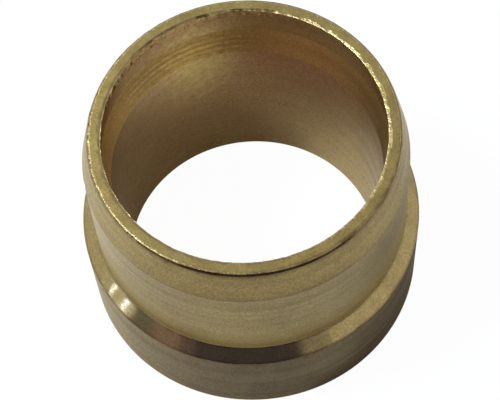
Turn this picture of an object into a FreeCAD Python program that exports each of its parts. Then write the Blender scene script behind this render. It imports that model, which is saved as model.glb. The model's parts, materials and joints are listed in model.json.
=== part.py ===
# Compression olive: one brass ring, turned from bar in a single piece.
# It stands on its collar end with the tapered nose up. Sizes are in millimetres.
# The origin is the centre of the foot face, and +Z runs along the axis towards the tip.
import FreeCAD, Part
import math
import os
from dataclasses import dataclass

# The pipe that passes through, and the play on its diameter in the bore and under the lip
PIPE_DIAMETER = 10.0
BORE_PLAY = 0.1
LIP_PLAY = 0.3

# Lengths along the axis, from the foot to the tip
COLLAR_LENGTH = 3.8
SHOULDER_LENGTH = 0.45
BAND_LENGTH = 4.1
NOSE_LENGTH = 1.45

# Radial sizes: the wall at the tip, and how far the nose, the band and then the shoulder widen from there
TIP_WALL = 0.62
NOSE_RISE = 0.31
BAND_RISE = 0.04
SHOULDER_RISE = 0.515

# Inside the tip: the cutting lip, the relief groove behind it and the funnel that leads to the bore
LIP_LENGTH = 0.3
RELIEF_DEPTH = 0.15
RELIEF_LENGTH = 0.95
FUNNEL_LENGTH = 1.25

# Small edges: the rim slopes off steeply outside and gently inside, and the bore's foot at 45 degrees
RIM_OUTER_WIDTH = 0.06
RIM_OUTER_DROP = 0.1
RIM_INNER_WIDTH = 0.1
RIM_INNER_DROP = 0.03
FOOT_BORE_BREAK = 0.1
FOOT_EDGE_RADIUS = 0.12
COLLAR_EDGE_RADIUS = 0.08
SHOULDER_ROOT_RADIUS = 0.1

# Radii that follow from the pipe and the walls
BORE_RADIUS = (PIPE_DIAMETER + BORE_PLAY) / 2
LIP_RADIUS = (PIPE_DIAMETER + LIP_PLAY) / 2
RELIEF_RADIUS = LIP_RADIUS + RELIEF_DEPTH
TIP_RADIUS = BORE_RADIUS + TIP_WALL
CREASE_RADIUS = TIP_RADIUS + NOSE_RISE
ROOT_RADIUS = CREASE_RADIUS + BAND_RISE
COLLAR_RADIUS = ROOT_RADIUS + SHOULDER_RISE

# Heights above the foot that follow from the lengths
SHOULDER_FOOT = COLLAR_LENGTH
SHOULDER_TOP = SHOULDER_FOOT + SHOULDER_LENGTH
NOSE_FOOT = SHOULDER_TOP + BAND_LENGTH
TIP = NOSE_FOOT + NOSE_LENGTH
LIP_FOOT = TIP - LIP_LENGTH
RELIEF_TOP = LIP_FOOT - RELIEF_DEPTH
RELIEF_FOOT = RELIEF_TOP - RELIEF_LENGTH
BORE_TOP = RELIEF_FOOT - FUNNEL_LENGTH

AXIS_POINT = FreeCAD.Vector(0, 0, 0)
AXIS = FreeCAD.Vector(0, 0, 1)
FULL_TURN = 360


@dataclass(frozen=True)
class Corner:
    """A corner of the half section, and the radius that rounds it."""

    radius: float
    height: float
    rounding: float = 0.0

    def point(self):
        """The corner's place in the XZ plane."""
        return FreeCAD.Vector(self.radius, 0, self.height)


@dataclass(frozen=True)
class Turn:
    """Where the outline reaches and leaves a corner, with the arc between them if it is rounded."""

    start: FreeCAD.Vector
    end: FreeCAD.Vector
    arcs: tuple = ()


def outside_corners():
    """The outside from the foot up to the rim: collar, shoulder, band and nose."""
    return [
        Corner(COLLAR_RADIUS, 0, FOOT_EDGE_RADIUS),
        Corner(COLLAR_RADIUS, SHOULDER_FOOT, COLLAR_EDGE_RADIUS),
        Corner(ROOT_RADIUS, SHOULDER_TOP, SHOULDER_ROOT_RADIUS),
        Corner(CREASE_RADIUS, NOSE_FOOT),
        Corner(TIP_RADIUS, TIP - RIM_OUTER_DROP),
        Corner(TIP_RADIUS - RIM_OUTER_WIDTH, TIP),
    ]


def inside_corners():
    """The inside from the rim down to the foot: lip, relief groove, funnel and bore."""
    return [
        Corner(LIP_RADIUS + RIM_INNER_WIDTH, TIP),
        Corner(LIP_RADIUS, TIP - RIM_INNER_DROP),
        Corner(LIP_RADIUS, LIP_FOOT),
        Corner(RELIEF_RADIUS, RELIEF_TOP),
        Corner(RELIEF_RADIUS, RELIEF_FOOT),
        Corner(BORE_RADIUS, BORE_TOP),
        Corner(BORE_RADIUS, FOOT_BORE_BREAK),
        Corner(BORE_RADIUS + FOOT_BORE_BREAK, 0),
    ]


def turn_at(before, corner, after):
    """The turn at a corner: the bare point, or an arc tangent to the lines towards both neighbours."""
    point = corner.point()
    if corner.rounding == 0:
        return Turn(point, point)
    to_before = (before.point() - point).normalize()
    to_after = (after.point() - point).normalize()
    half_angle = to_before.getAngle(to_after) / 2
    setback = corner.rounding / math.tan(half_angle)
    depth = corner.rounding / math.sin(half_angle) - corner.rounding
    start = point + to_before * setback
    middle = point + (to_before + to_after).normalize() * depth
    end = point + to_after * setback
    return Turn(start, end, (Part.Arc(start, middle, end).toShape(),))


def half_section(corners):
    """The closed face through the corners: straight lines between the turns."""
    befores = corners[-1:] + corners[:-1]
    afters = corners[1:] + corners[:1]
    turns = [turn_at(*trio) for trio in zip(befores, corners, afters)]
    edges = []
    for turn, following in zip(turns, turns[1:] + turns[:1]):
        edges.extend(turn.arcs)
        edges.append(Part.makeLine(turn.end, following.start))
    return Part.Face(Part.Wire(edges))


def compression_olive():
    """The ring: its half section carried once around the axis."""
    section = half_section(outside_corners() + inside_corners())
    return section.revolve(AXIS_POINT, AXIS, FULL_TURN)


def main():
    """Writes the ring."""
    os.makedirs("parts", exist_ok=True)
    compression_olive().exportStep("parts/compression_olive.step")


main()
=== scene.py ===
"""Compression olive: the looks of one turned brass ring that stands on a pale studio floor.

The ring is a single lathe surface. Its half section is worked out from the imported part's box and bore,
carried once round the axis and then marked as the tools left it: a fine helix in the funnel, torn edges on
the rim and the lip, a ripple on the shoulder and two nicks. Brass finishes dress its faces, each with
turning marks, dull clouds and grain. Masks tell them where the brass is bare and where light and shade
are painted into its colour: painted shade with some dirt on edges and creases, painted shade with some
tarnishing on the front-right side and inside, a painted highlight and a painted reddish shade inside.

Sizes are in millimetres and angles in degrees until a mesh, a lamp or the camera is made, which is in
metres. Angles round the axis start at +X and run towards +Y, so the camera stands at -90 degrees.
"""

import json
import logging
import math
from collections.abc import Callable
from dataclasses import dataclass, replace
from enum import Enum
from typing import ClassVar

import bpy
import numpy as np
from mathutils import Matrix, Vector
from numpy.typing import NDArray


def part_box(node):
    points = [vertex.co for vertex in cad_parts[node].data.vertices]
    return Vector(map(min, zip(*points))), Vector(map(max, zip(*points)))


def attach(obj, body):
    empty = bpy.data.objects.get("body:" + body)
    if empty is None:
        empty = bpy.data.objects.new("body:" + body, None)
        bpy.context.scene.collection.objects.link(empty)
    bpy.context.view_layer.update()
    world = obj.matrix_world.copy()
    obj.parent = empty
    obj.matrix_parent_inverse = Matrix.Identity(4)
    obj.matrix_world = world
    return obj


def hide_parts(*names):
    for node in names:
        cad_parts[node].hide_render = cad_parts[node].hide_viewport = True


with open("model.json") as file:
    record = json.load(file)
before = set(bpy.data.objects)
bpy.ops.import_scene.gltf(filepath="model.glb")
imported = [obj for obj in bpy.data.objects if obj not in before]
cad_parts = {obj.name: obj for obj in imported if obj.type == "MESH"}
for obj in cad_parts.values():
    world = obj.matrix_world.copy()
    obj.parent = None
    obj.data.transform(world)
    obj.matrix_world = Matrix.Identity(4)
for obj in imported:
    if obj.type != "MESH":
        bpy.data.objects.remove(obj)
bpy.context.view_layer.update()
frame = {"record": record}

LOG = logging.getLogger("olive")
MM = 0.001
FULL_TURN = 2 * math.pi
NODE = "compression_olive"
BODY = "root"
BORE_MOUNT = "pipe_bore"
BAKE_MAP = "OFBake"

Floats = NDArray[np.float64]
Colour = tuple[float, float, float, float]
Feed = bpy.types.NodeSocket | float | tuple[float, ...]

WHITE: Colour = (1.0, 1.0, 1.0, 1.0)


def srgb(red: int, green: int, blue: int) -> Colour:
    """Turns a colour as seen on a screen, 0 to 255, into the linear colour that a shader takes.

    A share up to 0.04045 is divided by 12.92. A larger one becomes ((share + 0.055) / 1.055) to the power
    2.4.

    Args:
        red: The red share.
        green: The green share.
        blue: The blue share.

    Returns:
        The linear red, green and blue, and full alpha.
    """
    shares = np.array([red, green, blue]) / 255
    linear = np.where(shares <= 0.04045, shares / 12.92, ((shares + 0.055) / 1.055) ** 2.4)
    return (float(linear[0]), float(linear[1]), float(linear[2]), 1.0)


def toward(azimuth: float, elevation: float) -> Vector:
    """Gives the direction that points away from the ring at an azimuth and an elevation.

    Args:
        azimuth: Degrees round the axis from +X towards +Y.
        elevation: Degrees above the floor.

    Returns:
        The unit direction.
    """
    around = math.radians(azimuth)
    above = math.radians(elevation)
    return Vector((math.cos(around) * math.cos(above), math.sin(around) * math.cos(above), math.sin(above)))


def turned(angle: float, axis: str) -> Matrix:
    """Gives the turn by an angle in degrees about an axis."""
    return Matrix.Rotation(math.radians(angle), 4, axis)


def share_of_way(measure: Floats, rows: Floats) -> Floats:
    """Gives how far along the marked rows each row lies in some measure, from nought to one."""
    own = measure[rows > 0]
    return np.clip((measure - own.min()) / (own.max() - own.min()), 0, 1)


def put(data: bpy.types.ID) -> bpy.types.Object:
    """Puts a mesh, a light or a camera into the scene.

    Args:
        data: What to put there.

    Returns:
        Its object, which has the same name.
    """
    thing = bpy.data.objects.new(data.name, data)
    bpy.context.scene.collection.objects.link(thing)
    return thing


class Finish(Enum):
    """The brass finishes of the ring; the value is the place of the material on the mesh."""

    TURNED = 0
    DRAWN = 1
    SHOULDER = 2
    FACED = 3
    BORED = 4
    FUNNEL = 5
    BURR = 6
    GROOVED = 7


class Zone(Enum):
    """The turned faces, in the order in which the half section meets them, each with its finish."""

    FOOT = ("foot face", Finish.FACED)
    COLLAR = ("collar", Finish.DRAWN)
    SHOULDER = ("shoulder", Finish.SHOULDER)
    BAND = ("band", Finish.TURNED)
    NOSE = ("nose", Finish.TURNED)
    RIM_EDGE = ("outer edge of the rim", Finish.SHOULDER)
    RIM_BURR = ("outer strip of the rim", Finish.BURR)
    RIM = ("rim", Finish.FACED)
    LIP_EDGE = ("inner edge of the rim", Finish.BURR)
    LIP = ("cutting lip", Finish.GROOVED)
    UNDERCUT = ("underside of the lip", Finish.GROOVED)
    RELIEF = ("relief groove", Finish.GROOVED)
    FUNNEL = ("funnel", Finish.FUNNEL)
    BORE = ("bore", Finish.BORED)
    FOOT_EDGE = ("inner edge of the foot", Finish.SHOULDER)

    @property
    def finish(self) -> Finish:
        """The finish that dresses this face."""
        return self.value[1]


@dataclass(frozen=True)
class Run:
    """A straight run of the half section, up to and with the rounded corner at its end.

    Attributes:
        zone: The face that the run makes.
        radius: The corner's distance from the axis.
        height: The corner's height above the foot.
        rounding: The radius that rounds the corner.
        rows: How many rows of points lie along the straight stretch.
        crowded: Whether the rows crowd towards its ends, where nicks need them.
    """

    zone: Zone
    radius: float
    height: float
    rounding: float
    rows: int
    crowded: bool = False


@dataclass(frozen=True)
class Section:
    """The half section as rows of points, closed from last to first, and its steps round the axis.

    Attributes:
        radius: Distance of each row from the axis.
        height: Height of each row above the foot.
        out: Unit normal of each row, as its radial and upward shares.
        course: Length along the section from its first row.
        zone: The face that starts at each row, by its place in Zone.
        corner: One where the row lies on a sharp corner that stands out, nought elsewhere.
        angle: Angle of each step round the axis, in radians.
    """

    radius: Floats
    height: Floats
    out: Floats
    course: Floats
    zone: NDArray[np.int64]
    corner: Floats
    angle: Floats

    def rows_of(self, *zones: Zone) -> Floats:
        """Marks with one the rows of the given faces."""
        order = list(Zone)
        return np.isin(self.zone, [order.index(zone) for zone in zones]).astype(float)

    def facing(self, middle: float) -> Floats:
        """Gives the cosine of each step's angle from a middle angle in degrees."""
        return np.cos(self.angle - math.radians(middle))


@dataclass(frozen=True)
class RingSizes:
    """The ring's sizes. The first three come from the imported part, and the others are the maker's.

    Attributes:
        collar_radius: Outer radius of the collar, the widest part.
        tip_height: Height of the rim above the foot.
        bore_radius: Radius of the bore that the pipe slides through.
        collar_length: Height of the collar.
        shoulder_length: Height of the shoulder.
        shoulder_rise: How much narrower the shoulder gets.
        band_rise: How much narrower the band gets.
        nose_length: Height of the nose, with the rim's outer edge.
        nose_rise: How much narrower the nose gets.
        rim_outer_width: Width of the bevel at the rim's outer edge.
        rim_outer_drop: Height of that bevel.
        rim_burr_width: Width of the torn strip of the rim beside it.
        rim_inner_width: Width of the slope at the rim's inner edge.
        rim_inner_drop: Height of that slope.
        lip_play: How much further than the bore the lip lies from the axis.
        lip_length: Height of the lip, from the rim down.
        relief_depth: How far the relief groove lies behind the lip.
        relief_length: Height of the groove below the lip's underside.
        funnel_length: Height of the funnel.
        foot_break: Width and height of the bevel between the bore and the foot.
    """

    collar_radius: float
    tip_height: float
    bore_radius: float
    collar_length: float = 3.8
    shoulder_length: float = 0.45
    shoulder_rise: float = 0.515
    band_rise: float = 0.04
    nose_length: float = 1.45
    nose_rise: float = 0.31
    rim_outer_width: float = 0.06
    rim_outer_drop: float = 0.1
    rim_burr_width: float = 0.07
    rim_inner_width: float = 0.1
    rim_inner_drop: float = 0.03
    lip_play: float = 0.1
    lip_length: float = 0.3
    relief_depth: float = 0.15
    relief_length: float = 0.95
    funnel_length: float = 1.25
    foot_break: float = 0.1

    @classmethod
    def from_frame(cls) -> "RingSizes":
        """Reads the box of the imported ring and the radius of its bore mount.

        Returns:
            The sizes.
        """
        low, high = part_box(NODE)
        bore = next(mount for mount in frame["record"]["mounts"] if mount["name"] == BORE_MOUNT)
        return cls(high.x / MM, (high.z - low.z) / MM, bore["dims"]["r_mm"])

    @property
    def root_radius(self) -> float:
        """Radius of the band where the shoulder ends."""
        return self.collar_radius - self.shoulder_rise

    @property
    def root_height(self) -> float:
        """Height of the shoulder's upper end."""
        return self.collar_length + self.shoulder_length

    @property
    def crease_radius(self) -> float:
        """Radius of the crease between the band and the nose."""
        return self.root_radius - self.band_rise

    @property
    def crease_height(self) -> float:
        """Height of the crease."""
        return self.tip_height - self.nose_length

    @property
    def tip_radius(self) -> float:
        """Radius of the nose's upper end."""
        return self.crease_radius - self.nose_rise

    @property
    def rim_radius(self) -> float:
        """Outer radius of the flat rim."""
        return self.tip_radius - self.rim_outer_width

    @property
    def relief_foot(self) -> float:
        """Height of the relief groove's lower end."""
        return self.tip_height - self.lip_length - self.relief_depth - self.relief_length

    @property
    def bore_top(self) -> float:
        """Height of the bore's upper end."""
        return self.relief_foot - self.funnel_length

    def runs(self) -> list[Run]:
        """Lists the runs: out along the foot, up the outside, over the rim and down the inside.

        Returns:
            The runs in order; each starts where the one before it ends, and the first where the last ends.
        """
        top = self.tip_height
        lip = self.bore_radius + self.lip_play
        lip_foot = top - self.lip_length
        relief = lip + self.relief_depth
        return [
            Run(Zone.FOOT, self.collar_radius, 0, rounding=0.12, rows=3),
            Run(Zone.COLLAR, self.collar_radius, self.collar_length, rounding=0.08, rows=14, crowded=True),
            Run(Zone.SHOULDER, self.root_radius, self.root_height, rounding=0.1, rows=6),
            Run(Zone.BAND, self.crease_radius, self.crease_height, rounding=0.03, rows=12, crowded=True),
            Run(Zone.NOSE, self.tip_radius, top - self.rim_outer_drop, rounding=0.1, rows=6),
            Run(Zone.RIM_EDGE, self.rim_radius, top, rounding=0.02, rows=2),
            Run(Zone.RIM_BURR, self.rim_radius - self.rim_burr_width, top, rounding=0, rows=1),
            Run(Zone.RIM, lip + self.rim_inner_width, top, rounding=0.05, rows=5),
            Run(Zone.LIP_EDGE, lip, top - self.rim_inner_drop, rounding=0.02, rows=4),
            Run(Zone.LIP, lip, lip_foot, rounding=0.03, rows=2),
            Run(Zone.UNDERCUT, relief, lip_foot - self.relief_depth, rounding=0.03, rows=1),
            Run(Zone.RELIEF, relief, self.relief_foot, rounding=0.04, rows=4),
            Run(Zone.FUNNEL, self.bore_radius, self.bore_top, rounding=0.04, rows=28),
            Run(Zone.BORE, self.bore_radius, self.foot_break, rounding=0.02, rows=5),
            Run(Zone.FOOT_EDGE, self.bore_radius + self.foot_break, 0, rounding=0.02, rows=1),
        ]


class SectionTracer:
    """Turns the runs of a half section into rows of points, with an arc at each corner.

    Attributes:
        ARC_STEP: The widest turn between two rows of an arc.
        WORN_TURN: The least turn of a corner that wears.
    """

    ARC_STEP: ClassVar[float] = 16.0
    WORN_TURN: ClassVar[float] = 70.0

    def __init__(self, runs: list[Run]) -> None:
        """Works out where each run starts and stops and how far it turns at its corner.

        Args:
            runs: The runs in order, going round the section with the metal on the left.
        """
        self.runs = runs
        self.ends = np.array([[run.radius, run.height] for run in runs])
        steps = self.ends - np.roll(self.ends, 1, axis=0)
        self.ahead = steps / np.linalg.norm(steps, axis=1, keepdims=True)
        after = np.roll(self.ahead, -1, axis=0)
        cross = self.ahead[:, 0] * after[:, 1] - self.ahead[:, 1] * after[:, 0]
        self.turn = np.arctan2(cross, np.sum(self.ahead * after, axis=1))
        self.rounding = np.array([run.rounding for run in runs])
        self.setback = self.rounding * np.tan(np.abs(self.turn) / 2)
        self.arc_rows = np.ceil(np.abs(self.turn) / math.radians(self.ARC_STEP)).astype(int) + 1

    def straight(self, place: int) -> Floats:
        """Spaces a run's rows between the arcs at its two ends.

        The shares of the way run evenly, or as (1 - cos(pi share)) / 2 where rows crowd towards the ends.

        Args:
            place: The run's place in the list.

        Returns:
            The points of the stretch, without the ends of its arcs.
        """
        ahead = self.ahead[place]
        start = self.ends[place - 1] + ahead * self.setback[place - 1]
        stop = self.ends[place] - ahead * self.setback[place]
        share = np.linspace(0, 1, self.runs[place].rows + 2)[1:-1, None]
        if self.runs[place].crowded:
            share = (1 - np.cos(np.pi * share)) / 2
        return start + (stop - start) * share

    def arc(self, place: int) -> Floats:
        """Rounds the corner at a run's end.

        From the point where the run leaves its line, a step of the turn t goes ahead by the rounding times
        sin t and aside, to the hand that the section turns to, by the rounding times 1 - cos t.

        Args:
            place: The run's place in the list.

        Returns:
            The points of the arc, with both its ends.
        """
        ahead = self.ahead[place]
        aside = np.array([-ahead[1], ahead[0]]) * np.sign(self.turn[place])
        steps = np.linspace(0, abs(self.turn[place]), self.arc_rows[place])[:, None]
        start = self.ends[place] - ahead * self.setback[place]
        return start + self.rounding[place] * (np.sin(steps) * ahead + (1 - np.cos(steps)) * aside)

    def trace(self, steps: int) -> Section:
        """Joins the straight stretches and arcs into one closed section.

        The normal of a row is its chord, from the row before to the row after, turned a quarter right.

        Args:
            steps: How many even steps carry it round the axis.

        Returns:
            The section.
        """
        order = list(Zone)
        points: list[Floats] = []
        zones: list[NDArray[np.int64]] = []
        corners: list[Floats] = []
        for place, run in enumerate(self.runs):
            straight = self.straight(place)
            arc = self.arc(place)
            following = self.runs[(place + 1) % len(self.runs)].zone
            half = len(arc) // 2
            points += [straight, arc]
            zones.append(np.full(len(straight) + half, order.index(run.zone)))
            zones.append(np.full(len(arc) - half, order.index(following)))
            stands_out = float(self.turn[place] > math.radians(self.WORN_TURN))
            corners += [np.zeros(len(straight)), np.full(len(arc), stands_out)]
        outline = np.concatenate(points)
        chord = np.roll(outline, -1, axis=0) - np.roll(outline, 1, axis=0)
        chord /= np.linalg.norm(chord, axis=1, keepdims=True)
        lengths = np.linalg.norm(np.diff(outline, axis=0), axis=1)
        return Section(
            radius=outline[:, 0],
            height=outline[:, 1],
            out=np.stack([chord[:, 1], -chord[:, 0]], axis=1),
            course=np.concatenate([[0.0], np.cumsum(lengths)]),
            zone=np.concatenate(zones),
            corner=np.concatenate(corners),
            angle=np.arange(steps) * (FULL_TURN / steps),
        )


@dataclass(frozen=True)
class Nick:
    """A small dent.

    Attributes:
        angle: Where it lies round the axis.
        height: Where it lies above the foot.
        reach: Its radius on the surface.
        depth: How deep it is.
    """

    angle: float
    height: float
    reach: float
    depth: float


@dataclass(frozen=True)
class Burr:
    """A ragged edge that the tool tore.

    Attributes:
        zone: The face that it roughs up.
        height: How far it strays from the face, as a deviation.
        tear: Length of a tear, along the edge.
        grain: Length of a bead, along the edge.
        middle: Angle where it is strongest.
        fall: How quickly it weakens away from there.
        least: The share of its strength that is left everywhere.
    """

    zone: Zone
    height: float
    tear: float
    grain: float
    middle: float
    fall: float
    least: float

    def strength(self, section: Section) -> Floats:
        """Falls from one to the least share as exp(fall (cos of the angle from the middle - 1))."""
        return self.least + (1 - self.least) * np.exp(self.fall * (section.facing(self.middle) - 1))


@dataclass(frozen=True)
class ToolMarks:
    """What the tools left on the surface: the funnel's helix, burrs, ripples and nicks.

    Attributes:
        groove_feed: How far the boring tool moves along the axis in one turn.
        groove_depth: Depth of the helix that it leaves in the funnel.
        groove_middle: Angle where the helix is deepest.
        groove_fall: How quickly it gets shallower away from there.
        burrs: The ragged edges.
        bead_share: How strong a burr's beads are beside its tears.
        own_share: How strong the stray of each single row is.
        ripple: Depth of the slow ripple that the form tool left on the shoulder.
        ripple_waves: About how many waves it makes round the ring.
        nicks: The dents.
        seed: Starts the random draws.
    """

    groove_feed: float = 0.265
    groove_depth: float = 0.006
    groove_middle: float = 118.0
    groove_fall: float = 4.0
    burrs: tuple[Burr, ...] = (
        Burr(Zone.LIP_EDGE, height=0.01, tear=0.35, grain=0.14, middle=30, fall=2, least=0.45),
        Burr(Zone.RIM_EDGE, height=0.007, tear=0.16, grain=0.11, middle=178, fall=3, least=0.1),
        Burr(Zone.LIP, height=0.01, tear=0.3, grain=0.12, middle=180, fall=1, least=0.4),
        Burr(Zone.RIM_BURR, height=0.01, tear=0.14, grain=0.09, middle=170, fall=3, least=0.1),
    )
    bead_share: float = 0.3
    own_share: float = 0.15
    ripple: float = 0.0012
    ripple_waves: int = 60
    nicks: tuple[Nick, ...] = (
        Nick(angle=-172, height=8.2, reach=0.16, depth=0.05),
        Nick(angle=-154, height=3.65, reach=0.18, depth=0.05),
    )
    seed: int = 11

    def ragged(self, draws: np.random.Generator, count: int, beads: float) -> Floats:
        """Makes a random line that closes on itself round the ring.

        White noise loses its fine waves by a factor exp(-(waves / beads) squared), and is then scaled to a
        deviation of one.

        Args:
            draws: The random draws.
            count: How many points lie round the ring.
            beads: How many beads fit round the ring.

        Returns:
            The line's value at each point.
        """
        waves = np.fft.rfft(draws.standard_normal(count))
        waves *= np.exp(-((np.arange(len(waves)) / beads) ** 2))
        waves[0] = 0
        line = np.fft.irfft(waves, count)
        return line / line.std()

    def funnel_helix(self, section: Section) -> Floats:
        """Cuts the helix: a cosine wave along the axis, one feed long, that moves on by a feed in one turn.

        It is deepest on one side and falls off from there as exp(fall (cos of the angle from it - 1)). It
        fades out at both ends of the funnel as the root of sin(pi share), by the share of the way.

        Args:
            section: The half section.

        Returns:
            The depth at each row and step, below nought.
        """
        cut = section.rows_of(Zone.FUNNEL)
        fade = cut * np.sqrt(np.sin(np.pi * share_of_way(section.height, cut)))
        down = section.height[cut > 0].max() - section.height
        turns = down[:, None] / self.groove_feed + section.angle / FULL_TURN
        bite = np.exp(self.groove_fall * (section.facing(self.groove_middle) - 1))
        return -self.groove_depth * fade[:, None] * bite * (1 + np.cos(FULL_TURN * turns)) / 2

    def torn_edges(self, section: Section) -> Floats:
        """Roughs up the burrs' faces: tears and beads that the rows share, and a stray of each row's own.

        Args:
            section: The half section.

        Returns:
            The stray at each row and step.
        """
        draws = np.random.default_rng(self.seed)
        steps = len(section.angle)
        stray = np.zeros((len(section.radius), steps))
        for burr in self.burrs:
            rows = section.rows_of(burr.zone)
            around = FULL_TURN * section.radius[rows > 0].mean()
            tears = self.ragged(draws, steps, around / burr.tear)
            beads = self.ragged(draws, steps, around / burr.grain)
            own = np.array([self.ragged(draws, steps, around / burr.grain) for _ in rows])
            line = tears + self.bead_share * beads + self.own_share * own
            stray += burr.height * burr.strength(section) * rows[:, None] * line
        return stray

    def shoulder_ripple(self, section: Section) -> Floats:
        """Lets the shoulder waver round the ring by a ragged line of slow waves.

        Across the shoulder the wave grows and fades as sin(pi share), so that it meets its neighbours
        smoothly.

        Args:
            section: The half section.

        Returns:
            The stray at each row and step.
        """
        draws = np.random.default_rng(self.seed + 1)
        line = self.ragged(draws, len(section.angle), self.ripple_waves)
        rows = section.rows_of(Zone.SHOULDER)
        across = rows * np.sin(np.pi * share_of_way(section.course, rows))
        return self.ripple * np.outer(across, line)

    def dents(self, section: Section) -> Floats:
        """Presses in the nicks: each a bell exp(-(distance / reach) squared) on the outside of the ring.

        Args:
            section: The half section.

        Returns:
            The depth at each row and step, below nought.
        """
        outside = section.rows_of(Zone.COLLAR, Zone.SHOULDER, Zone.BAND, Zone.NOSE)
        depth = np.zeros((len(section.radius), len(section.angle)))
        for nick in self.nicks:
            away = np.angle(np.exp(1j * (section.angle - math.radians(nick.angle))))
            along = section.radius[:, None] * away
            up = (section.height - nick.height)[:, None]
            depth -= nick.depth * np.exp(-(along**2 + up**2) / nick.reach**2)
        return depth * outside[:, None]

    def stray(self, section: Section) -> Floats:
        """Adds up every mark, as a move along the surface's normal."""
        marks: list[Callable[[Section], Floats]] = [
            self.funnel_helix, self.torn_edges, self.shoulder_ripple, self.dents,
        ]
        return sum(mark(section) for mark in marks)


class Graph:
    """A shader node tree, written one node at a time."""

    def __init__(self, tree: bpy.types.NodeTree) -> None:
        """Takes the tree to write into."""
        self.tree = tree

    @classmethod
    def of(cls, owner: bpy.types.Material | bpy.types.World) -> "Graph":
        """Clears the nodes of a material or a world, so that they can be written anew.

        Args:
            owner: The material or world.

        Returns:
            Its empty tree.
        """
        owner.use_nodes = True
        owner.node_tree.nodes.clear()
        return cls(owner.node_tree)

    def add(
        self,
        kind: str,
        feeds: dict[str, Feed] | dict[int, Feed] | None = None,
        **settings: str | bpy.types.NodeTree,
    ) -> bpy.types.Node:
        """Adds a node, sets its properties and feeds its inputs.

        Args:
            kind: The node's kind.
            feeds: What goes into its inputs, by their names or places: an output to link, or a plain value.
            settings: Its properties by their names.

        Returns:
            The node.
        """
        node = self.tree.nodes.new(kind)
        for name, value in settings.items():
            setattr(node, name, value)
        for socket, value in (feeds or {}).items():
            if isinstance(value, bpy.types.NodeSocket):
                self.tree.links.new(value, node.inputs[socket])
            else:
                node.inputs[socket].default_value = value
        return node

    def math(self, operation: str, *values: Feed) -> bpy.types.NodeSocket:
        """Adds a sum on one, two or three values and gives its result."""
        return self.add("ShaderNodeMath", dict(enumerate(values)), operation=operation).outputs[0]

    def spread(
        self, value: Feed, low: float = 0.0, high: float = 1.0, first: float = 0.0, last: float = 1.0
    ) -> bpy.types.NodeSocket:
        """Turns the range from low to high smoothly into that from first to last, and stops at its ends.

        Args:
            value: The value to turn.
            low: Where the range starts.
            high: Where the range stops.
            first: What low becomes.
            last: What high becomes.

        Returns:
            The turned value.
        """
        feeds = {"Value": value, "From Min": low, "From Max": high, "To Min": first, "To Max": last}
        return self.add("ShaderNodeMapRange", feeds, interpolation_type="SMOOTHSTEP").outputs["Result"]

    def mix(self, share: Feed, first: Feed, second: Feed) -> bpy.types.NodeSocket:
        """Mixes two colours by a share.

        Args:
            share: Nought for the first colour, one for the second.
            first: The first colour.
            second: The second colour.

        Returns:
            The mixed colour.
        """
        factor, colour_a, colour_b, result = 0, 6, 7, 2
        feeds = {factor: share, colour_a: first, colour_b: second}
        return self.add("ShaderNodeMix", feeds, data_type="RGBA").outputs[result]

    def noise(self, place: Feed, scale: Feed, detail: float, rough: float) -> bpy.types.NodeSocket:
        """Adds cloudy noise.

        Args:
            place: Where to read it.
            scale: How many clouds lie in one unit.
            detail: How many finer octaves are laid over it.
            rough: How strong the finer octaves are.

        Returns:
            The noise, about a half on average.
        """
        feeds = {"Vector": place, "Scale": scale, "Detail": detail, "Roughness": rough}
        return self.add("ShaderNodeTexNoise", feeds).outputs["Fac"]

    def blend(self, share: Feed, first: bpy.types.Node, second: bpy.types.Node) -> bpy.types.Node:
        """Blends two shaders by a share, nought for the first and one for the second."""
        return self.add("ShaderNodeMixShader", {0: share, 1: first.outputs[0], 2: second.outputs[0]})

    def show(self, shader: bpy.types.Node, output: str = "ShaderNodeOutputMaterial") -> None:
        """Sends a shader to the tree's output."""
        self.add(output, {"Surface": shader.outputs[0]})


class Effect:
    """A node group that several finishes place, each with its own values."""

    def __init__(self, name: str, values: list[str], results: list[str]) -> None:
        """Makes the empty group with its sockets. The first input is the place on the surface.

        Args:
            name: The group's name.
            values: The names of its other inputs, all plain values.
            results: The names of its outputs, all plain values.
        """
        self.tree = bpy.data.node_groups.new(name, "ShaderNodeTree")
        sockets = self.tree.interface
        sockets.new_socket(name="Place", in_out="INPUT", socket_type="NodeSocketVector")
        for label in values:
            sockets.new_socket(name=label, in_out="INPUT", socket_type="NodeSocketFloat")
        for label in results:
            sockets.new_socket(name=label, in_out="OUTPUT", socket_type="NodeSocketFloat")
        self.graph = Graph(self.tree)
        self.given = self.graph.add("NodeGroupInput").outputs

    def give(self, **results: Feed) -> None:
        """Sends the results to the group's outputs."""
        self.graph.add("NodeGroupOutput", results)

    def place(self, graph: Graph, **values: Feed) -> bpy.types.bpy_prop_collection:
        """Places the group in a material, feeds its inputs and gives its outputs."""
        return graph.add("ShaderNodeGroup", values, node_tree=self.tree).outputs


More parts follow.
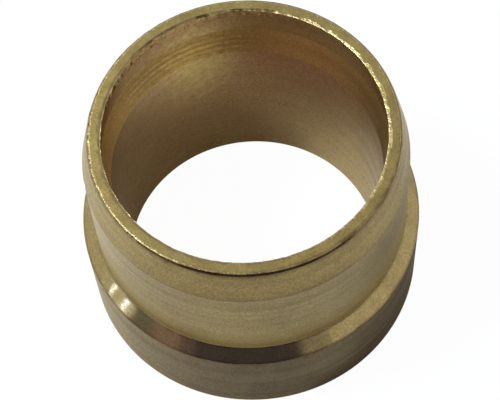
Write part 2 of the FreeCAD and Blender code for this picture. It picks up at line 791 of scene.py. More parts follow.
class ToolShop:
    """The effects that the finishes share: turning marks, dull clouds, and bare metal on edges and in a
    painted highlight patch inside.

    Attributes:
        PER_METRE: How many millimetres there are in a metre, the unit of the places on the surface.
    """

    PER_METRE: ClassVar[float] = 1 / MM

    def __init__(self) -> None:
        """Builds each group once."""
        self.turning = self.turning_marks()
        self.clouds = self.dull_clouds()
        self.baring = self.edge_wear()

    def turning_marks(self) -> Effect:
        """Lines that run round the ring: noise, squeezed along the section and drawn out round the axis.

        The noise is read at x and y in millimetres times Drift, and at the course along the section over
        Feed.

        Returns:
            The group, with Fine for single lines and Broad for bands of them.
        """
        effect = Effect("turning_marks", ["Course", "Feed", "Drift"], ["Fine", "Broad"])
        graph = effect.graph
        given = effect.given
        place = graph.add("ShaderNodeSeparateXYZ", {0: given["Place"]}).outputs
        drift = graph.math("MULTIPLY", given["Drift"], self.PER_METRE)
        squeezed = {
            "X": graph.math("MULTIPLY", place["X"], drift),
            "Y": graph.math("MULTIPLY", place["Y"], drift),
            "Z": graph.math("DIVIDE", given["Course"], given["Feed"]),
        }
        lines = graph.add("ShaderNodeCombineXYZ", squeezed).outputs[0]
        effect.give(
            Fine=graph.noise(lines, scale=1.0, detail=2.0, rough=0.6),
            Broad=graph.noise(lines, scale=0.21, detail=1.0, rough=0.5),
        )
        return effect

    def dull_clouds(self) -> Effect:
        """Patches where the brass has dulled, and a fine grain.

        Returns:
            The group, with Cloud for the patches and Grain for the fine speckle.
        """
        effect = Effect("dull_clouds", ["Size", "Speck"], ["Cloud", "Grain"])
        graph = effect.graph
        given = effect.given
        clouds = graph.math("DIVIDE", self.PER_METRE, given["Size"])
        specks = graph.math("DIVIDE", self.PER_METRE, given["Speck"])
        cloud = graph.noise(given["Place"], clouds, detail=4.0, rough=0.55)
        grain = graph.noise(given["Place"], specks, detail=2.0, rough=0.5)
        effect.give(
            Cloud=graph.spread(cloud, low=0.35, high=0.68),
            Grain=graph.spread(grain, low=0.3, high=0.7),
        )
        return effect

    def edge_wear(self) -> Effect:
        """Bare bright metal where the edge mask is strong, broken up by noise: bared corners, and the painted
        highlight patch inside.

        Returns:
            The group, with Bared for the bare share.
        """
        effect = Effect("edge_wear", ["Edge", "Size"], ["Worn"])
        graph = effect.graph
        given = effect.given
        patches = graph.math("DIVIDE", self.PER_METRE, given["Size"])
        noise = graph.noise(given["Place"], patches, detail=3.0, rough=0.6)
        reach = graph.math("ADD", given["Edge"], graph.math("SUBTRACT", noise, 0.5))
        effect.give(Worn=graph.spread(reach, low=0.35, high=0.95))
        return effect


@dataclass(frozen=True)
class Reading:
    """What a finish reads at a point of the surface, each an output of a node in its material.

    Attributes:
        fine: Single turning marks.
        broad: Bands of turning marks.
        cloud: Dull patches.
        grain: Fine grain.
        bare_and_highlight: Bare metal, and the painted highlight patch inside.
        dirt_and_shade: Dirt and painted shade.
        shade_and_tarnishing: Painted shade, with some tarnishing.
        red_shade: The painted reddish shade inside.
    """

    fine: bpy.types.NodeSocket
    broad: bpy.types.NodeSocket
    cloud: bpy.types.NodeSocket
    grain: bpy.types.NodeSocket
    bare_and_highlight: bpy.types.NodeSocket
    dirt_and_shade: bpy.types.NodeSocket
    shade_and_tarnishing: bpy.types.NodeSocket
    red_shade: bpy.types.NodeSocket


@dataclass(frozen=True)
class BrassFinish:
    """A finish of the brass.

    Attributes:
        name: The material's name.
        clean: The colour of the clean metal.
        dull: The colour where it has dulled.
        bare: The colour of bare metal, which also paints the highlight patch inside.
        sheen: The tint of what it mirrors at a flat angle.
        smooth: Roughness between the turning marks.
        rough: Roughness on them.
        pull: How far reflections are drawn out across the turning marks, nought to one.
        feed: Distance between turning marks.
        drift: How quickly a turning mark changes round the ring, in changes for each millimetre.
        depth: Depth of the turning marks.
        cloud: Size of the dull patches.
        dulled: How strongly they show.
        lined: How strongly the turning marks show in the colour.
        speckled: How strongly the fine grain shows in the colour.
        scratched: How strongly single bright turning marks show in the colour.
        red_shade: The colour of the painted reddish shade inside, for light bounced between the brass walls.
        DARK_TONE: The dark colour of turning marks, grain, dirt and painted shade.
        SHADE_TARNISH_TONE: The colour of painted shade, with some tarnishing, on the front-right side and
            inside.
        QUARTER_TURN: Turns the drawn out reflections across the turning marks.
        GRAIN_SIZE: Size of a speck of the grain.
        WEAR_SIZE: Size of the patches that break up bare metal.
        LEAST_SHADE_TARNISH: How much of that painted shade is left between the dull patches.
        LEAST_DIRT_AND_SHADE: How much of the dirt and painted shade is left there.
        SCRATCH: Where single turning marks start to look bright and where they are brightest.
        MARKED: Where broad turning marks start to roughen the metal and where they stop.
        GRAIN_POLISH: How strongly the grain roughens it.
        DIRT_AND_SHADE_ROUGHNESS: How much rougher the dirt and painted shade are.
        GRAIN_DEPTH: How deep the grain is beside the turning marks.
    """

    name: str
    clean: Colour
    dull: Colour
    bare: Colour
    sheen: Colour
    smooth: float
    rough: float
    pull: float
    feed: float
    drift: float
    depth: float
    cloud: float
    dulled: float
    lined: float
    speckled: float
    scratched: float
    # Painted reddish shade: the redder light bounced between the walls where the bore is shaded.
    red_shade: Colour = srgb(205, 155, 116)

    # Both tones below also paint shade: the first into edges, creases and the lip, the second on the
    # front-right side and inside.
    DARK_TONE: ClassVar[Colour] = srgb(68, 45, 27)
    SHADE_TARNISH_TONE: ClassVar[Colour] = srgb(82, 70, 48)
    QUARTER_TURN: ClassVar[float] = 0.25
    GRAIN_SIZE: ClassVar[float] = 0.08
    WEAR_SIZE: ClassVar[float] = 0.25
    LEAST_SHADE_TARNISH: ClassVar[float] = 0.85
    LEAST_DIRT_AND_SHADE: ClassVar[float] = 0.65
    SCRATCH: ClassVar[tuple[float, float]] = (0.6, 0.8)
    MARKED: ClassVar[tuple[float, float]] = (0.3, 0.95)
    GRAIN_POLISH: ClassVar[float] = 0.3
    DIRT_AND_SHADE_ROUGHNESS: ClassVar[float] = 0.1
    GRAIN_DEPTH: ClassVar[float] = 0.35

    def read(self, graph: Graph, shop: ToolShop) -> Reading:
        """Places the shared effects and reads the ring's masks.

        Args:
            graph: The material's nodes.
            shop: The shared effects.

        Returns:
            What the finish reads.
        """
        place = graph.add("ShaderNodeTexCoord").outputs["Object"]
        # Besides bare corners, the edge mask holds a painted highlight patch inside; the other three masks
        # paint shade, partly with dirt and tarnishing.
        course, edge, grime, tarnish, bloom = (
            graph.add("ShaderNodeAttribute", attribute_name=name).outputs["Fac"]
            for name in ("course", "edge", "grime", "tarnish", "bloom")
        )
        lines = shop.turning.place(graph, Place=place, Course=course, Feed=self.feed, Drift=self.drift)
        clouds = shop.clouds.place(graph, Place=place, Size=self.cloud, Speck=self.GRAIN_SIZE)
        baring = shop.baring.place(graph, Place=place, Edge=edge, Size=self.WEAR_SIZE)
        return Reading(
            fine=lines["Fine"],
            broad=lines["Broad"],
            cloud=clouds["Cloud"],
            grain=clouds["Grain"],
            bare_and_highlight=baring["Worn"],
            dirt_and_shade=graph.math("MULTIPLY", grime, graph.spread(clouds["Cloud"], first=self.LEAST_DIRT_AND_SHADE)),
            shade_and_tarnishing=graph.math("MULTIPLY", tarnish, graph.spread(clouds["Cloud"], first=self.LEAST_SHADE_TARNISH)),
            red_shade=bloom,
        )

    def colour(self, graph: Graph, reading: Reading) -> Feed:
        """Lays colours over the clean metal, each by its share, painted light among them: painted shade with
        some tarnishing, painted reddish shade, the painted highlight in the bare colour, and painted shade
        with some dirt.

        Args:
            graph: The material's nodes.
            reading: What the finish reads.

        Returns:
            The colour.
        """
        marks = graph.math("MULTIPLY", reading.fine, reading.broad)
        start, full = self.SCRATCH
        # Painted light among these layers: shade with some tarnishing, reddish shade, the highlight patch in
        # the bare colour, and shade with some dirt.
        layers = (
            (graph.math("MULTIPLY", reading.cloud, self.dulled), self.dull),
            (reading.shade_and_tarnishing, self.SHADE_TARNISH_TONE),
            (reading.red_shade, self.red_shade),
            (graph.math("MULTIPLY", marks, self.lined), self.DARK_TONE),
            (graph.math("MULTIPLY", reading.grain, self.speckled), self.DARK_TONE),
            (graph.spread(reading.fine, start, full, last=self.scratched), self.bare),
            (reading.bare_and_highlight, self.bare),
            (reading.dirt_and_shade, self.DARK_TONE),
        )
        colour: Feed = self.clean
        for share, tone in layers:
            colour = graph.mix(share, colour, tone)
        return colour

    def roughness(self, graph: Graph, reading: Reading) -> bpy.types.NodeSocket:
        """Roughens the metal on broad turning marks and grain, and more under the dirt and painted shade.

        Args:
            graph: The material's nodes.
            reading: What the finish reads.

        Returns:
            The roughness.
        """
        marks = graph.math("MULTIPLY_ADD", reading.grain, self.GRAIN_POLISH, reading.broad)
        polish = graph.spread(marks, *self.MARKED, self.smooth, self.rough)
        return graph.math("MULTIPLY_ADD", reading.dirt_and_shade, self.DIRT_AND_SHADE_ROUGHNESS, polish)

    def bump(self, graph: Graph, reading: Reading) -> bpy.types.NodeSocket:
        """Presses in fine turning marks and grain, which the dirt and painted shade fill.

        Args:
            graph: The material's nodes.
            reading: What the finish reads.

        Returns:
            The bent normal.
        """
        height = graph.math("MULTIPLY_ADD", reading.grain, self.GRAIN_DEPTH, reading.fine)
        clear = graph.math("SUBTRACT", 1.0, reading.dirt_and_shade)
        left = graph.math("MULTIPLY", height, clear)
        feeds = {"Strength": 1.0, "Distance": self.depth * MM, "Height": left}
        return graph.add("ShaderNodeBump", feeds).outputs[0]

    def material(self, shop: ToolShop) -> bpy.types.Material:
        """Builds the material.

        Args:
            shop: The shared effects.

        Returns:
            The material, with colour, roughness and bump from its nodes.
        """
        material = bpy.data.materials.new(self.name)
        graph = Graph.of(material)
        reading = self.read(graph, shop)
        around = graph.add("ShaderNodeTangent", direction_type="RADIAL", axis="Z").outputs[0]
        feeds = {
            "Base Color": self.colour(graph, reading),
            "Roughness": self.roughness(graph, reading),
            "Normal": self.bump(graph, reading),
            "Metallic": 1.0,
            "Specular Tint": self.sheen,
            "Anisotropic": self.pull,
            "Anisotropic Rotation": self.QUARTER_TURN,
            "Tangent": around,
        }
        graph.show(graph.add("ShaderNodeBsdfPrincipled", feeds))
        return material


BORED_BRASS = BrassFinish(
    name="bored_brass_inside",
    clean=srgb(170, 148, 102), dull=srgb(148, 127, 87), bare=srgb(193, 170, 104),
    sheen=(0.9, 0.8, 0.66, 1.0), smooth=0.20, rough=0.28, pull=0.8, feed=0.12, drift=0.12, depth=0.0003,
    cloud=1.6, dulled=0.4, lined=0.1, speckled=0.3, scratched=0.0,
)
FINISHES: dict[Finish, BrassFinish] = {
    Finish.TURNED: BrassFinish(
        name="turned_brass_outside",
        clean=srgb(173, 150, 93), dull=srgb(146, 124, 74), bare=srgb(194, 175, 116),
        sheen=(0.97, 0.93, 0.86, 1.0), smooth=0.26, rough=0.40, pull=0.6, feed=0.07, drift=0.12, depth=0.0014,
        cloud=2.2, dulled=0.4, lined=0.3, speckled=0.32, scratched=0.3,
    ),
    Finish.DRAWN: BrassFinish(
        name="drawn_brass_collar",
        clean=srgb(163, 146, 99), dull=srgb(135, 119, 79), bare=srgb(169, 152, 106),
        sheen=(0.93, 0.85, 0.73, 1.0), smooth=0.30, rough=0.44, pull=0.5, feed=0.10, drift=0.15, depth=0.0014,
        cloud=2.0, dulled=0.5, lined=0.5, speckled=0.5, scratched=0.5,
    ),
    Finish.SHOULDER: BrassFinish(
        name="formed_brass_shoulder",
        clean=srgb(172, 154, 104), dull=srgb(152, 134, 89), bare=srgb(184, 168, 118),
        sheen=(0.97, 0.93, 0.86, 1.0), smooth=0.12, rough=0.18, pull=0.4, feed=0.09, drift=0.4, depth=0.0003,
        cloud=0.7, dulled=0.6, lined=0.25, speckled=0.3, scratched=0.15,
    ),
    Finish.FACED: BrassFinish(
        name="faced_brass_ends",
        clean=srgb(158, 142, 90), dull=srgb(134, 118, 73), bare=srgb(172, 156, 106),
        sheen=(0.95, 0.9, 0.8, 1.0), smooth=0.17, rough=0.28, pull=0.3, feed=0.06, drift=0.5, depth=0.0012,
        cloud=0.7, dulled=0.6, lined=0.1, speckled=0.3, scratched=0.1,
    ),
    Finish.BORED: BORED_BRASS,
    # The funnel's lighter, more orange colours are partly its own tone and partly painted reflection of light
    # bounced between the brass walls.
    Finish.FUNNEL: replace(
        BORED_BRASS,
        name="funnelled_brass_mouth",
        clean=srgb(212, 180, 116), dull=srgb(185, 154, 97), bare=srgb(237, 206, 126),
        red_shade=srgb(246, 191, 126), smooth=0.34, rough=0.44, pull=0.4, feed=0.10, drift=0.2, depth=0.0004,
        cloud=1.2,
    ),
    Finish.BURR: BrassFinish(
        name="bright_brass_burr",
        clean=srgb(165, 148, 102), dull=srgb(138, 122, 80), bare=srgb(190, 176, 130),
        sheen=(0.95, 0.9, 0.8, 1.0), smooth=0.24, rough=0.34, pull=0.0, feed=0.6, drift=2.0, depth=0.03,
        cloud=0.4, dulled=0.4, lined=0.1, speckled=0.2, scratched=0.1,
    ),
    Finish.GROOVED: replace(
        BORED_BRASS,
        name="grooved_brass_relief",
        clean=srgb(196, 160, 110), dull=srgb(176, 142, 96), bare=srgb(205, 180, 116),
    ),
}


@dataclass(frozen=True)
class Side:
    """The side of the ring where something shows most.

    Attributes:
        share: How strongly it shows in the middle of that side.
        middle: Angle of the middle.
        power: How quickly it weakens away from there. Without one it shows evenly all round.
    """

    share: float
    middle: float = 0.0
    power: float = 0.0

    def at(self, section: Section) -> Floats:
        """Gives the share times ((1 + cos of the angle from the middle) / 2) to the power."""
        return self.share * ((1 + section.facing(self.middle)) / 2) ** self.power


@dataclass(frozen=True)
class Stain:
    """A patch on some faces of the ring.

    Attributes:
        zones: The faces.
        side: The side that has it.
        height: Height of its middle.
        reach: How far it reaches up and down from there. Without one it covers the faces' whole height.
        growth: Power by which it grows on the way down the faces. Without one it stays the same.
    """

    zones: tuple[Zone, ...]
    side: Side
    height: float = 0.0
    reach: float = math.inf
    growth: float = 0.0

    def cover(self, section: Section) -> Floats:
        """Works out the patch.

        Up and down it fades as exp(-(distance / reach) squared), and it grows as the share of the way down
        the faces to the power.

        Args:
            section: The half section.

        Returns:
            The patch's share at each row and step.
        """
        rows = section.rows_of(*self.zones)
        near = np.exp(-(((section.height - self.height) / self.reach) ** 2))
        down = 1 - share_of_way(section.height, rows)
        return np.outer(rows * near * down**self.growth, self.side.at(section))


@dataclass(frozen=True)
class DirtAndShadeLine:
    """A line of painted shade, with some dirt, round the ring.

    Attributes:
        radius: Its distance from the axis.
        height: Its height above the foot.
        reach: How far the darkening spreads from it.
        side: The side that is darkest.
        least: The part of that side's darkening that lies all round.
    """

    radius: float
    height: float
    reach: float
    side: Side
    least: float = 0.0

    def cover(self, section: Section) -> Floats:
        """Works out the darkening, which fades from the line as exp(-(distance / reach) squared).

        Args:
            section: The half section.

        Returns:
            The line's share of darkening at each row and step.
        """
        away = np.hypot(section.radius - self.radius, section.height - self.height)
        around = self.least * self.side.share + (1 - self.least) * self.side.at(section)
        return np.outer(np.exp(-((away / self.reach) ** 2)), around)


@dataclass(frozen=True)
class OliveRing:
    """The brass ring, turned in one piece.

    Attributes:
        sizes: Its sizes.
        marks: What the tools left on it.
        name: The name of the piece.
        segments: How many steps the lathe surface makes round the axis.
        edge_reach: How far wear spreads from a sharp corner that stands out.
        painted_highlight: A painted highlight patch inside, laid on in the bare colour.
        strip_inset: How far the line of painted shade on the rim's outer strip lies from the rim's edge.
        lip_shade_layer: The thin painted shade on the lip and its underside.
        lip_darkening: The painted shade, with some dirt, on the edge over the lip.
        lip_lighter: The side where that edge is lighter.
        lip_darker: The sides where it is darker.
        shade_middle: Angle of most painted shade outside, on the side that mirrors the floor's shadow.
        shade_range: Cosines of the angle from there where the painted shade starts and where it is full.
        shaded_faces: How strongly each face of the outside takes that painted shade, with some tarnishing.
        band_foot: The part of the band's painted shade that its foot has.
        band_gain: How quickly the band gains the rest on the way up.
        inner_shade: The darker patches inside, painted shade.
        bloom: The patches of painted reddish shade inside.
        bore_reddened_shade: The bore's even painted reddish shade at its upper end.
        bore_reddened_shade_foot: The part of it that the foot has.
        less_reddened_sides: The sides of the bore that have less of it.
    """

    sizes: RingSizes
    marks: ToolMarks
    name: str = "olive_ring"
    segments: int = 640
    edge_reach: float = 0.02
    # Painted highlight: the far inner wall, where it mirrors lit floor, gets the bare colour.
    painted_highlight: Stain = Stain((Zone.RELIEF, Zone.FUNNEL, Zone.BORE), Side(0.75, 108, 20), height=6.8, reach=3.5)
    strip_inset: float = 0.04
    # Painted shade under the rim's inner edge, with some dirt, on the lip and on the edge over it.
    lip_shade_layer: float = 0.04
    lip_darkening: float = 0.45
    lip_lighter: Side = Side(0.45, 25, 4)
    lip_darker: tuple[Side, ...] = (Side(0.75, 92, 6), Side(0.3, 20, 60))
    # Painted shade on the front-right side, where the metal mirrors the floor's shadow, with some tarnishing.
    shade_middle: float = -62.0
    shade_range: tuple[float, float] = (-0.35, 0.8)
    shaded_faces: tuple[tuple[Zone, float], ...] = (
        (Zone.COLLAR, 1.0), (Zone.BAND, 0.35), (Zone.NOSE, 0.22), (Zone.RIM, 0.12),
    )
    band_foot: float = 0.2
    band_gain: float = 1.5
    # Painted shade: darker patches on the funnel, the relief groove and the bore.
    inner_shade: tuple[Stain, ...] = (
        Stain((Zone.FUNNEL,), Side(0.35, -5, 6)),
        Stain((Zone.FUNNEL,), Side(0.2, -5, 6), growth=1),
        Stain((Zone.FUNNEL,), Side(0.28, 52, 5), growth=3),
        Stain((Zone.RELIEF,), Side(0.3, 122, 8)),
        Stain((Zone.FUNNEL, Zone.BORE), Side(0.18, 86, 60), height=7.2, reach=2.0),
        Stain((Zone.BORE,), Side(0.3, 12, 25), height=4.8, reach=2.0),
    )
    # Painted reddish shade inside, for the redder light bounced between the walls where the bore is shaded.
    bloom: tuple[Stain, ...] = (
        Stain((Zone.FUNNEL,), Side(0.65, 58, 12)),
        Stain((Zone.BORE,), Side(0.55, 52, 8), height=7.15, reach=1.3),
    )
    bore_reddened_shade: float = 0.4
    bore_reddened_shade_foot: float = 0.2
    less_reddened_sides: tuple[Side, ...] = (Side(1.0, 5, 6), Side(0.7, 185, 4))

    def surface(self, section: Section) -> Floats:
        """Carries the section round the axis.

        A point lies at radius times cos and sin of its angle, and at its height, each moved along the
        section's normal by what the tools left. No point leaves the part's own box.

        Args:
            section: The half section.

        Returns:
            The points by row, by step and by axis, in millimetres.
        """
        stray = self.marks.stray(section)
        radius = section.radius[:, None] + stray * section.out[:, :1]
        height = section.height[:, None] + stray * section.out[:, 1:]
        radius = np.minimum(radius, self.sizes.collar_radius)
        height = np.clip(height, 0, self.sizes.tip_height)
        return np.stack([radius * np.cos(section.angle), radius * np.sin(section.angle), height], axis=2)

    def quads(self, rows: int) -> NDArray[np.int64]:
        """Joins each point with its neighbours, round the ring and round the section.

        Args:
            rows: How many rows the section has.

        Returns:
            The four corners of each face, seen from outside against the clock.
        """
        row = np.arange(rows)[:, None]
        step = np.arange(self.segments)[None, :]
        next_row = (row + 1) % rows
        next_step = (step + 1) % self.segments
        corners = [
            row * self.segments + step,
            row * self.segments + next_step,
            next_row * self.segments + next_step,
            next_row * self.segments + step,
        ]
        return np.stack(corners, axis=2).reshape(-1, 4)

    def bare_and_highlight_mask(self, section: Section) -> Floats:
        """Marks what is bare: sharp corners, fading as exp(-(distance / reach) squared), and a painted
        highlight patch inside.

        Args:
            section: The half section.

        Returns:
            The share of wear at each row and step.
        """
        corners = section.course[section.corner > 0]
        away = np.abs(section.course[:, None] - corners).min(axis=1)
        edges = np.exp(-((away / self.edge_reach) ** 2))
        return np.maximum(edges[:, None], self.painted_highlight.cover(section))

    def dirt_and_shade_lines(self) -> list[DirtAndShadeLine]:
        """Lists the lines of painted shade, with some dirt: three on the rim, the crease, the collar's edge
        and the shoulder's root.

        Returns:
            The lines.
        """
        sizes = self.sizes
        top = sizes.tip_height
        bevel = (sizes.rim_radius + sizes.rim_outer_width / 2, top - sizes.rim_outer_drop / 2)
        strip = (sizes.rim_radius - self.strip_inset, top)
        crease = (sizes.crease_radius, sizes.crease_height)
        # Painted shade in edges and creases, with some dirt; the bevel's line is darkest at the front, where
        # the bevel mirrors dark surroundings.
        return [
            DirtAndShadeLine(*bevel, reach=0.09, side=Side(1.0, -90, 2)),
            DirtAndShadeLine(sizes.rim_radius, top, reach=0.028, side=Side(0.85)),
            DirtAndShadeLine(*strip, reach=0.05, side=Side(0.95, -70, 3)),
            DirtAndShadeLine(*crease, reach=0.019, side=Side(0.42, self.shade_middle, 2), least=0.2),
            DirtAndShadeLine(sizes.collar_radius, sizes.collar_length, reach=0.07, side=Side(0.6)),
            DirtAndShadeLine(sizes.root_radius, sizes.root_height, reach=0.05, side=Side(0.5)),
        ]

    def dirt_and_shade_mask(self, section: Section) -> Floats:
        """Marks the dirt and painted shade: a thin layer on the lip, more on the edge over it, and the lines
        of painted shade.

        Args:
            section: The half section.

        Returns:
            The share of dirt and painted shade at each row and step.
        """
        lip_shade_layer = self.lip_shade_layer * section.rows_of(Zone.LIP, Zone.UNDERCUT)
        lip = self.lip_darkening - self.lip_lighter.at(section) + sum(side.at(section) for side in self.lip_darker)
        edge = np.outer(section.rows_of(Zone.LIP_EDGE), np.minimum(lip, 1))
        lines = [line.cover(section) for line in self.dirt_and_shade_lines()]
        return np.maximum.reduce([lip_shade_layer[:, None] + edge, *lines])

    def shade_tarnish_mask(self, section: Section) -> Floats:
        """Paints shade, with some tarnishing, on one side of the outside, most of all the collar, and darker
        patches inside.

        Outside, the share s runs from nought to one as the cosine of the angle from the darkest place runs
        through its range, and is smoothed as s s (3 - 2 s). The band gains its painted shade on the way up.

        Args:
            section: The half section.

        Returns:
            The share of painted shade, with some tarnishing, at each row and step.
        """
        start, full = self.shade_range
        share = np.clip((section.facing(self.shade_middle) - start) / (full - start), 0, 1)
        rows = sum(part * section.rows_of(zone) for zone, part in self.shaded_faces)
        foot = self.sizes.root_height
        up = (section.height - foot) / (self.sizes.crease_height - foot)
        gained = np.clip(self.band_foot + self.band_gain * up, 0, 1)
        rows *= np.where(section.rows_of(Zone.BAND) > 0, gained, 1)
        outside = np.outer(rows, share**2 * (3 - 2 * share))
        return outside + sum(stain.cover(section) for stain in self.inner_shade)

    def reddened_shade_mask(self, section: Section) -> Floats:
        """Paints reddish shade inside, for light bounced between the walls: patches, and an even share on the
        bore.

        The even share thins out towards the foot in step with the height. The less reddened sides take their
        shares away from it.

        Args:
            section: The half section.

        Returns:
            The share of painted reddish shade at each row and step.
        """
        up = section.height / self.sizes.bore_top
        thinned = self.bore_reddened_shade_foot + (1 - self.bore_reddened_shade_foot) * up
        left = np.prod([1 - side.at(section) for side in self.less_reddened_sides], axis=0)
        even = np.outer(self.bore_reddened_shade * section.rows_of(Zone.BORE) * thinned, left)
        return even + sum(stain.cover(section) for stain in self.bloom)

    def masks(self, section: Section) -> dict[str, Floats]:
        """Works out what the finishes read, by row and by step.

        Args:
            section: The half section.

        Returns:
            Each mask by its attribute's name.
        """
        return {
            "course": np.outer(section.course, np.ones(self.segments)),
            # The edge mask holds bare corners and the painted highlight patch inside.
            "edge": self.bare_and_highlight_mask(section),
            "grime": self.dirt_and_shade_mask(section),
            "tarnish": self.shade_tarnish_mask(section),
            "bloom": self.reddened_shade_mask(section),
        }

    def flat_map(self, section: Section) -> Floats:
        """Lays the surface out flat: the share of a full turn across, the share of the section's length up.

        Args:
            section: The half section.

        Returns:
            The place of each corner of each face on the map.
        """
        closing = math.hypot(section.radius[0] - section.radius[-1], section.height[0] - section.height[-1])
        way = np.append(section.course, section.course[-1] + closing)
        low, high = way[:-1, None] / way[-1], way[1:, None] / way[-1]
        left = np.arange(self.segments)[None, :] / self.segments
        right = left + 1 / self.segments
        corners = [(left, low), (right, low), (right, high), (left, high)]
        places = [np.stack(np.broadcast_arrays(*corner), axis=2) for corner in corners]
        return np.stack(places, axis=2).reshape(-1, 2)

    def build(self) -> bpy.types.Object:
        """Makes the mesh, with its finish by face and the masks that the finishes read.

        Returns:
            The ring's object, at the origin.
        """
        section = SectionTracer(self.sizes.runs()).trace(self.segments)
        points = self.surface(section).reshape(-1, 3) * MM
        faces = self.quads(len(section.radius))
        mesh = bpy.data.meshes.new(self.name)
        mesh.from_pydata(points, [], faces)
        finish_of_zone = np.array([zone.finish.value for zone in Zone])
        mesh.polygons.foreach_set("material_index", np.repeat(finish_of_zone[section.zone], self.segments))
        mesh.polygons.foreach_set("use_smooth", np.ones(len(faces), dtype=bool))
        for name, values in self.masks(section).items():
            layer = mesh.attributes.new(name, "FLOAT", "POINT")
            layer.data.foreach_set("value", values.ravel().astype(np.float32))
        mesh.uv_layers.new(name=BAKE_MAP).data.foreach_set("uv", self.flat_map(section).ravel())
        mesh.update()
        return put(mesh)

    def dress(self, ring: bpy.types.Object, shop: ToolShop) -> None:
        """Gives the ring its finishes, in the order of the mesh's material places."""
        for finish in Finish:
            ring.data.materials.append(FINISHES[finish].material(shop))

    def mount(self, ring: bpy.types.Object) -> None:
        """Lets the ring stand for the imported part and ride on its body.

        Args:
            ring: The ring's object.
        """
        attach(ring, BODY)
        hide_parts(NODE)


@dataclass(frozen=True)
class PhotoCamera:
    """The camera: it looks down on the rim from the front.

    Attributes:
        azimuth: Where it stands round the ring.
        elevation: Degrees above the floor.
        distance: Distance from the middle of the rim.
        focal: Focal length in pixels of the picture.
        width: The picture's width in pixels.
        pan: How far it then turns to the right.
        tilt: How far it then turns up.
        roll: How far it then turns about its line of sight.
        sensor: Width of its sensor.
        nearest: Distance of the nearest thing that it shows.
        farthest: Distance of the farthest.
    """

    azimuth: float = -90.0
    elevation: float = 60.131
    distance: float = 57.752
    focal: float = 1619.58
    width: int = 500
    pan: float = 0.003
    tilt: float = -2.437
    roll: float = -4.984
    sensor: float = 36.0
    nearest: float = 1.0
    farthest: float = 5000.0

    def build(self, rim_height: float) -> None:
        """Makes the camera and gives it to the scene.

        Args:
            rim_height: Height of the rim above the floor.
        """
        lens = bpy.data.cameras.new("studio_camera")
        lens.sensor_width = self.sensor
        lens.lens = self.focal / self.width * self.sensor
        lens.clip_start = self.nearest * MM
        lens.clip_end = self.farthest * MM
        camera = put(lens)
        back = toward(self.azimuth, self.elevation)
        place = Matrix.Translation((Vector((0, 0, rim_height)) + back * self.distance) * MM)
        look = turned(self.azimuth + 90, "Z") @ turned(90 - self.elevation, "X")
        aim = turned(-self.pan, "Y") @ turned(self.tilt, "X") @ turned(self.roll, "Z")
        camera.matrix_world = place @ look @ aim
        bpy.context.scene.camera = camera


@dataclass(frozen=True)
class Lamp:
    """A soft rectangular lamp that faces the ring.

    Attributes:
        name: What it is.
        azimuth: Where it stands round the ring.
        elevation: How high it stands.
        distance: How far off it is.
        width: Its width.
        height: Its height.
        brightness: How bright its face is, where one is white.
        tint: The colour of its light.
        WATTS_PER_AREA: Power of a square metre of white face.
    """

    name: str
    azimuth: float
    elevation: float
    distance: float
    width: float
    height: float
    brightness: float
    tint: tuple[float, float, float] = (1.0, 1.0, 1.0)

    WATTS_PER_AREA: ClassVar[float] = 4.0

    def build(self) -> None:
        """Makes the lamp, hidden from the camera itself."""
        light = bpy.data.lights.new(self.name, "AREA")
        light.shape = "RECTANGLE"
        light.size = self.width * MM
        light.size_y = self.height * MM
        light.energy = self.brightness * self.width * self.height * MM**2 * self.WATTS_PER_AREA
        light.color = self.tint
        lamp = put(light)
        away = toward(self.azimuth, self.elevation)
        lamp.location = away * self.distance * MM
        lamp.rotation_euler = away.to_track_quat("Z", "Y").to_euler()
        lamp.visible_camera = False


@dataclass(frozen=True)
class Card:
    """An upright card that the brass mirrors and the camera doesn't see.

    Attributes:
        name: What it is.
        start: Azimuth of its first end.
        stop: Azimuth of its other end.
        distance: How far off its ends stand.
        height: Its height.
        tone: The colour and brightness that it shows.
    """

    name: str
    start: float
    stop: float
    distance: float
    height: float
    tone: Colour

    def corners(self) -> Floats:
        """Places the card on the floor.

        Returns:
            Its four corners, in millimetres.
        """
        first = np.array(toward(self.start, 0)) * self.distance
        last = np.array(toward(self.stop, 0)) * self.distance
        up = np.array([0, 0, self.height])
        return np.array([first, last, last + up, first + up])

    def material(self) -> bpy.types.Material:
        """Builds a plain even tone, which the lamps don't change.

        Returns:
            The material.
        """
        material = bpy.data.materials.new(self.name)
        graph = Graph.of(material)
        material.cycles.emission_sampling = "NONE"
        graph.show(graph.add("ShaderNodeEmission", {"Color": self.tone}))
        return material


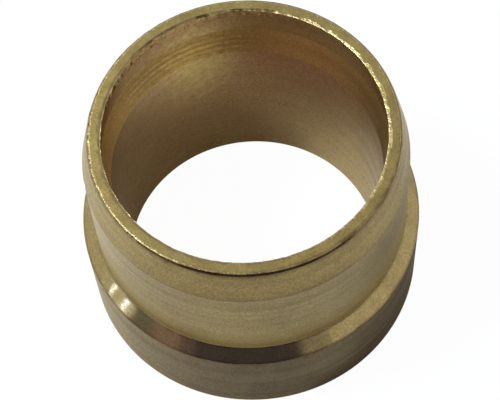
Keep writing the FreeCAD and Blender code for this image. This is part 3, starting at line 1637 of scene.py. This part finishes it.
@dataclass(frozen=True)
class Studio:
    """The pale floor, the cards in front, the lamps and the white surroundings.

    Attributes:
        floor_size: Width of the square floor.
        floor_gap: How far it lies under the ring's foot, so that the two faces don't meet.
        floor_colour: Its colour.
        lift: How much of the floor's white the camera sees for certain, shadow or not.
        gloss_lift: The same for what the brass reflects.
        dim_sky: How brightly the surroundings light matt surfaces.
        cards: The cards.
        lamps: The lamps.
    """

    floor_size: float = 4000.0
    floor_gap: float = 0.01
    floor_colour: Colour = srgb(244, 244, 242)
    lift: float = 0.97
    gloss_lift: float = 0.08
    dim_sky: float = 0.42
    cards: tuple[Card, ...] = (
        Card("pale_card", start=201, stop=213, distance=64, height=80, tone=(0.28, 0.29, 0.35, 1.0)),
        Card("rose_card", start=212.5, stop=228, distance=62, height=79, tone=(0.47, 0.38, 0.47, 1.0)),
        Card("brown_card", start=227, stop=236, distance=61, height=78, tone=(0.25, 0.2, 0.3, 1.0)),
        Card("dark_card", start=235, stop=289.5, distance=60, height=78, tone=(0.11, 0.10, 0.18, 1.0)),
        Card("grey_card", start=289, stop=305, distance=62, height=79, tone=(0.55, 0.54, 0.58, 1.0)),
        Card("low_dark_card", start=289.5, stop=322, distance=58, height=18, tone=(0.11, 0.10, 0.18, 1.0)),
    )
    lamps: tuple[Lamp, ...] = (
        Lamp(
            "left_key", azimuth=183, elevation=60, distance=400, width=90, height=90,
            brightness=42.0, tint=(0.9, 1.04, 1.22),
        ),
        Lamp(
            "back_left_panel", azimuth=132, elevation=48, distance=400, width=200, height=200,
            brightness=1.4,
        ),
        Lamp(
            "low_left_window", azimuth=185, elevation=15, distance=240, width=10, height=14,
            brightness=12.0, tint=(0.4, 0.52, 1.0),
        ),
        Lamp(
            "left_window", azimuth=194, elevation=18, distance=240, width=12, height=16,
            brightness=12.0, tint=(0.4, 0.52, 1.0),
        ),
    )

    def floor_material(self) -> bpy.types.Material:
        """Builds white matt card. What the camera and shiny things see of it is lifted towards plain white.

        Returns:
            The material.
        """
        material = bpy.data.materials.new("pale_floor")
        graph = Graph.of(material)
        material.cycles.emission_sampling = "NONE"
        path = graph.add("ShaderNodeLightPath").outputs
        seen = graph.math("MAXIMUM", path["Is Camera Ray"], path["Is Transmission Ray"])
        mirrored = graph.math("MULTIPLY", path["Is Glossy Ray"], self.gloss_lift)
        share = graph.math("MAXIMUM", graph.math("MULTIPLY", seen, self.lift), mirrored)
        matt = graph.add("ShaderNodeBsdfDiffuse", {"Color": self.floor_colour})
        glow = graph.add("ShaderNodeEmission", {"Color": WHITE})
        graph.show(graph.blend(share, matt, glow))
        return material

    def sheet(self, name: str, corners: Floats, material: bpy.types.Material) -> bpy.types.Object:
        """Makes a flat stage piece from its four corners.

        Args:
            name: What it is.
            corners: The corners, in millimetres.
            material: Its material.

        Returns:
            Its object.
        """
        mesh = bpy.data.meshes.new(name)
        mesh.from_pydata(corners * MM, [], [(0, 1, 2, 3)])
        mesh.materials.append(material)
        piece = put(mesh)
        return piece

    def floor(self) -> None:
        """Lays the floor under the ring."""
        half = self.floor_size / 2
        corners = np.array([[-half, -half], [half, -half], [half, half], [-half, half]])
        corners = np.column_stack([corners, np.full(len(corners), -self.floor_gap)])
        self.sheet("pale_floor", corners, self.floor_material())

    def sky(self) -> None:
        """Makes the surroundings white for the camera and for reflections, and dimmer as a light."""
        world = bpy.data.worlds.new("white_studio")
        graph = Graph.of(world)
        path = graph.add("ShaderNodeLightPath").outputs
        seen = graph.math("MAXIMUM", path["Is Camera Ray"], path["Is Transmission Ray"])
        seen = graph.math("MAXIMUM", seen, path["Is Glossy Ray"])
        dim = graph.add("ShaderNodeBackground", {"Color": WHITE, "Strength": self.dim_sky})
        white = graph.add("ShaderNodeBackground", {"Color": WHITE})
        graph.show(graph.blend(seen, dim, white), "ShaderNodeOutputWorld")
        bpy.context.scene.world = world

    def build(self) -> None:
        """Sets up the floor, the cards, the lamps and the surroundings."""
        self.floor()
        for card in self.cards:
            self.sheet(card.name, card.corners(), card.material()).visible_camera = False
        for lamp in self.lamps:
            lamp.build()
        self.sky()
        bpy.context.scene.view_settings.view_transform = "Standard"


def main() -> None:
    """Builds the ring, the studio and the camera, and reports each."""
    logging.basicConfig(level=logging.INFO)
    sizes = RingSizes.from_frame()
    PhotoCamera().build(sizes.tip_height)
    LOG.info("camera set")
    olive = OliveRing(sizes, ToolMarks())
    ring = olive.build()
    olive.dress(ring, ToolShop())
    olive.mount(ring)
    LOG.info("%s: %d faces, %d finishes", ring.name, len(ring.data.polygons), len(ring.data.materials))
    Studio().build()
    LOG.info("studio set")


if __name__ == "__main__":
    main()
